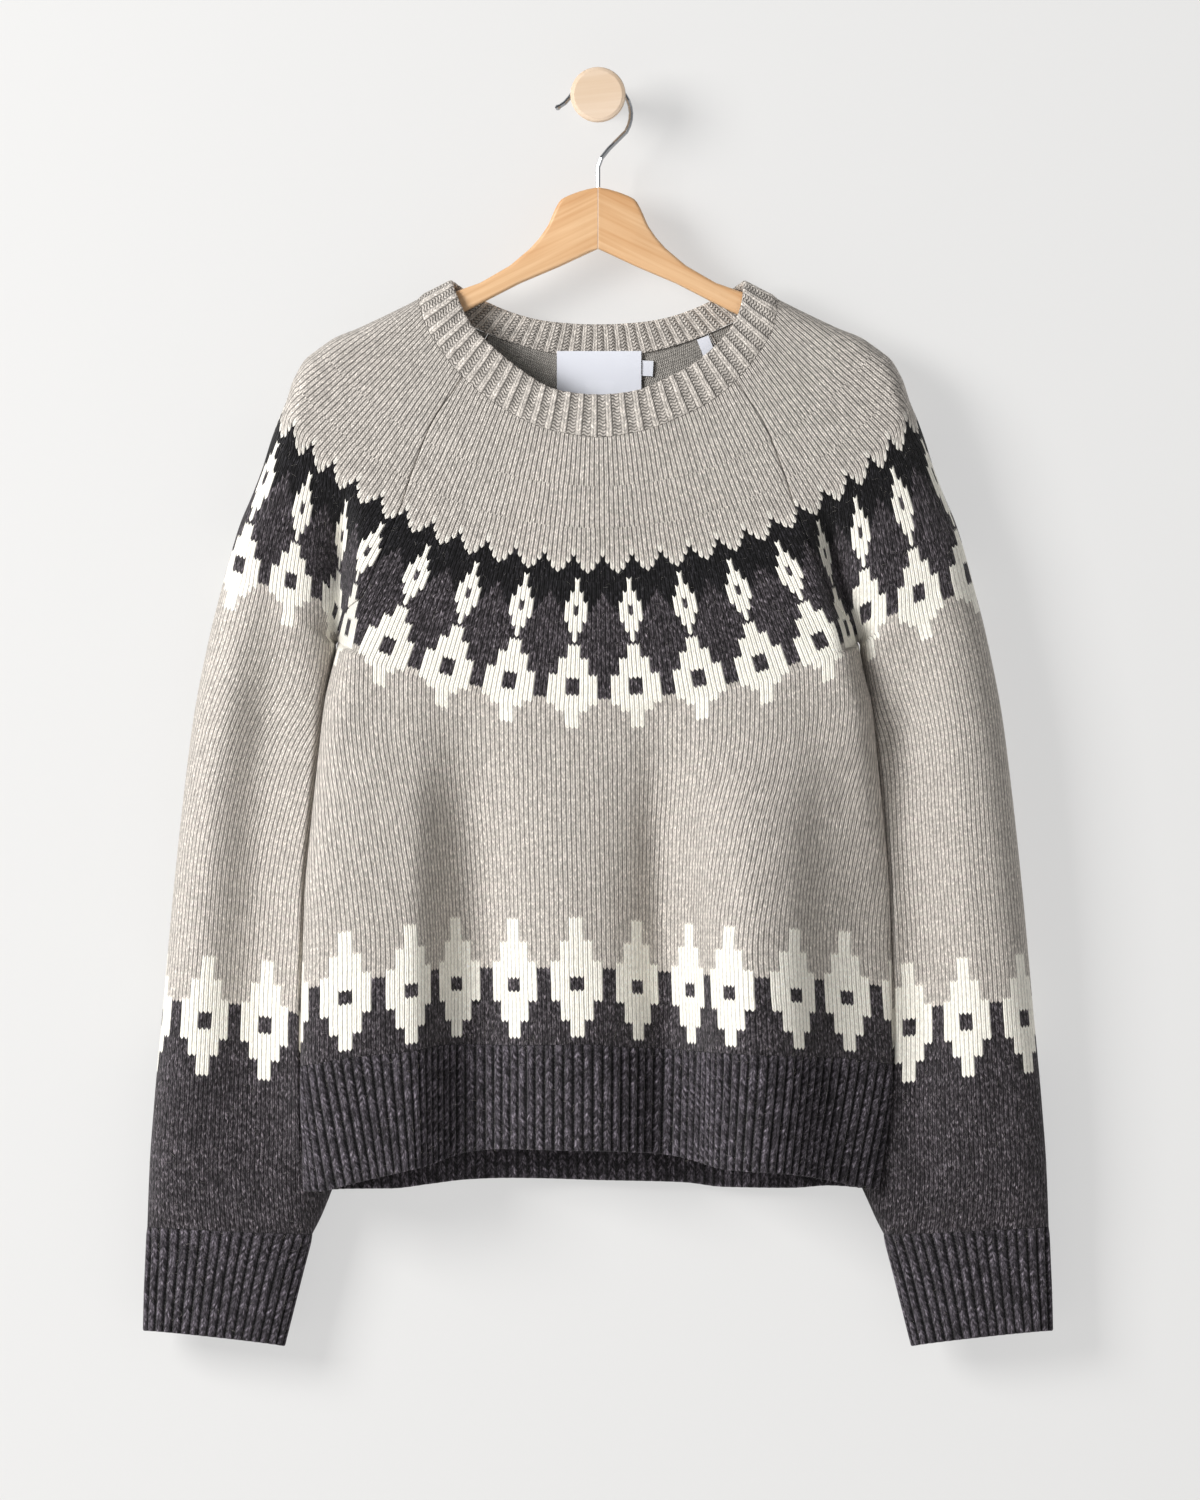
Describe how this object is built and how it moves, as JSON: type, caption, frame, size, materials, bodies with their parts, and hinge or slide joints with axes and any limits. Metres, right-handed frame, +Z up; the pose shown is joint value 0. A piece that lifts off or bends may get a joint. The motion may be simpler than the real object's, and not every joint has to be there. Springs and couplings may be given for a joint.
{
  "type": "nordic sweater on a wooden hanger and wall peg",
  "caption": "Knitted crew neck sweater with raglan sleeves and a patterned yoke, spread on a flat wooden hanger that hooks over a round wall peg.",
  "frame": {"origin": "middle of the wall peg's flat back, where it meets the wall", "axes": "+Z up, +Y into the wall, +X to the right for someone who faces the wall"},
  "size_m": [0.5928, 0.0929, 0.8319],
  "materials": {
    "pale_grey_wool": "matte melange knit",
    "charcoal_wool": "matte melange rib knit",
    "white_satin": "satin",
    "oiled_beech": "satin",
    "chromed_wire": "polished",
    "waxed_birch": "matte"
  },
  "bodies": {
    "root": {"front_panel": "pale_grey_wool", "back_panel": "pale_grey_wool", "sleeve_left": "pale_grey_wool", "sleeve_right": "pale_grey_wool", "neckband": "pale_grey_wool", "hem_rib_front": "charcoal_wool", "hem_rib_back": "charcoal_wool", "cuff_left": "charcoal_wool", "cuff_right": "charcoal_wool", "neck_label": "white_satin", "size_tab": "white_satin", "care_tag": "white_satin", "hanger_left": "oiled_beech", "hanger_right": "oiled_beech", "hanger_hook": "chromed_wire", "wall_peg": "waxed_birch"}
  },
  "joints": []
}
